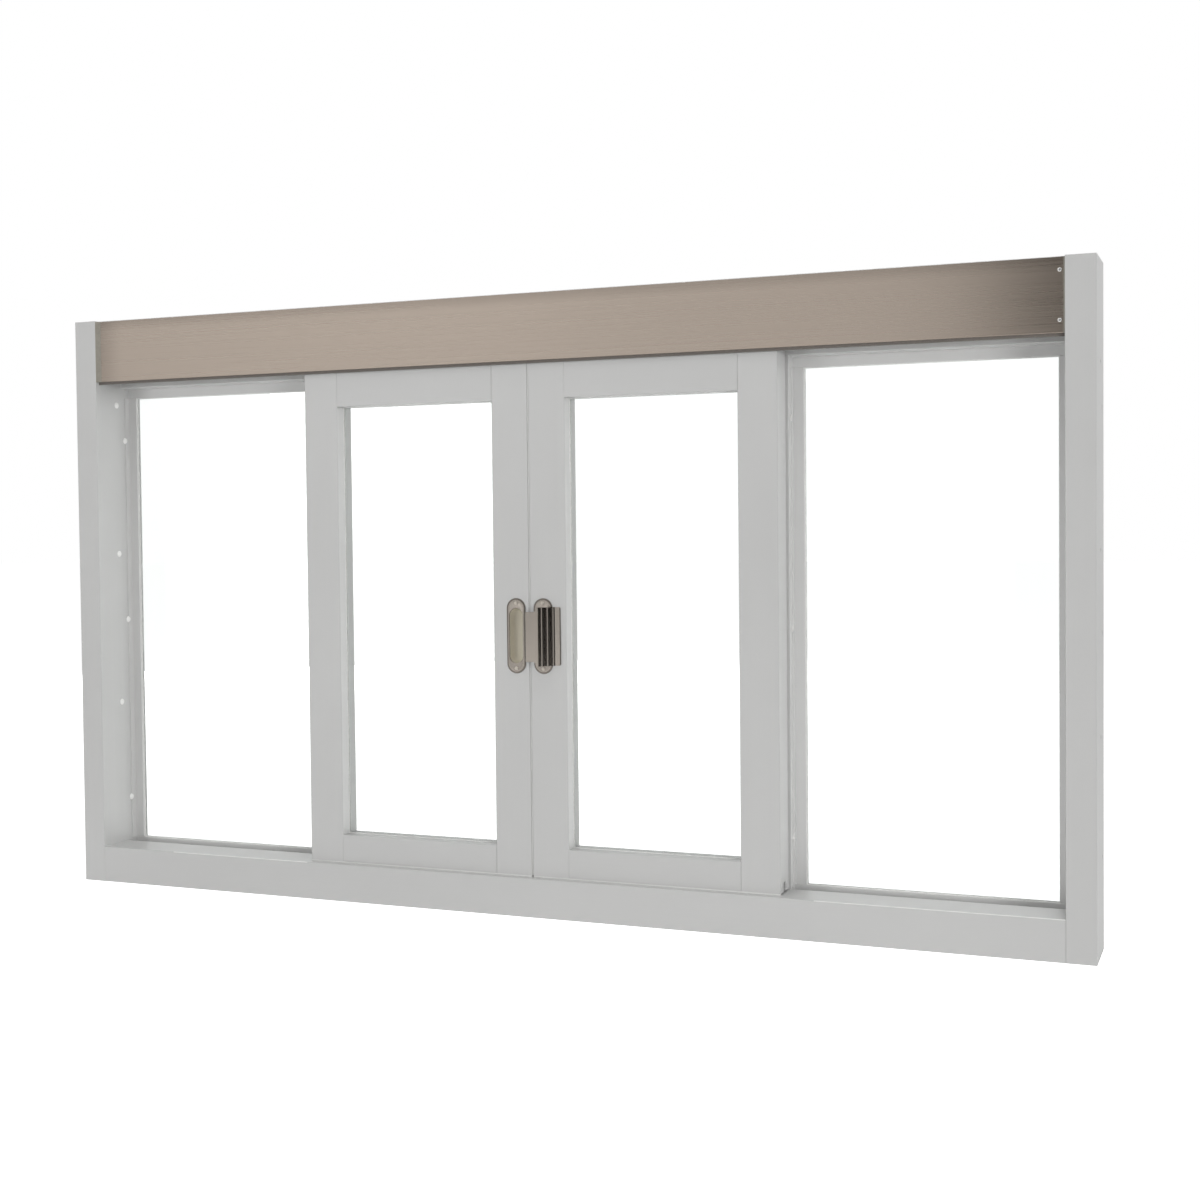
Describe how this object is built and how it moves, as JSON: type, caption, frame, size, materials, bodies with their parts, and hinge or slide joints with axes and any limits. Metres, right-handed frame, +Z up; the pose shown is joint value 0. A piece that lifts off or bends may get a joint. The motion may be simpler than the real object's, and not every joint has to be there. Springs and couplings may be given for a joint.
{
  "type": "aluminium sliding window",
  "caption": "Centre-opening aluminium service window: fixed lites each side of two top-hung sliding sashes, header cover over the track, oval flush pulls and a projecting pull.",
  "frame": {"origin": "middle of the window at the underside of the sill, halfway between the rear of the frame and the front of the projecting pull", "axes": "+X along the window to the viewer's right, front faces -Y, +Z up"},
  "size_m": [2.1336, 0.1404, 1.2192],
  "materials": {
    "frame": "clear anodised extrusion, satin",
    "cover": "brushed stainless sheet, warm satin",
    "glass": "clear float glass",
    "gasket": "matte grey glazing gasket",
    "pile": "woven pile weather seal",
    "roller": "moulded acetal",
    "guide": "moulded nylon",
    "hanger": "zinc-plated pressed steel",
    "pull": "satin nickel-plated casting"
  },
  "bodies": {
    "root": {"cover_seal": "pile", "head": "frame", "header_cover": "cover", "left_bottom_rail": "frame", "left_cover_clip": "frame", "left_fixed_gasket": "gasket", "left_fixed_glass": "glass", "left_flush_pull": "pull", "left_hangers": "hanger", "left_head_bead": "frame", "left_jamb": "frame", "left_jamb_bead": "frame", "left_meeting_seal": "pile", "left_meeting_stile": "frame", "left_mullion": "frame", "left_mullion_bead": "frame", "left_mullion_seal": "pile", "left_outer_stile": "frame", "left_rollers": "roller", "left_sash_gasket": "gasket", "left_sash_glass": "glass", "left_sash_guide": "guide", "left_sill_bead": "frame", "left_top_rail": "frame", "right_bottom_rail": "frame", "right_cover_clip": "frame", "right_fixed_gasket": "gasket", "right_fixed_glass": "glass", "right_flush_pull": "pull", "right_hangers": "hanger", "right_head_bead": "frame", "right_jamb": "frame", "right_jamb_bead": "frame", "right_meeting_seal": "pile", "right_meeting_stile": "frame", "right_mullion": "frame", "right_mullion_bead": "frame", "right_mullion_seal": "pile", "right_outer_stile": "frame", "right_pull_bar": "pull", "right_rollers": "roller", "right_sash_gasket": "gasket", "right_sash_glass": "glass", "right_sash_guide": "guide", "right_sill_bead": "frame", "right_top_rail": "frame", "roller_track": "frame", "sill": "frame", "sill_infill": "frame"}
  },
  "joints": []
}
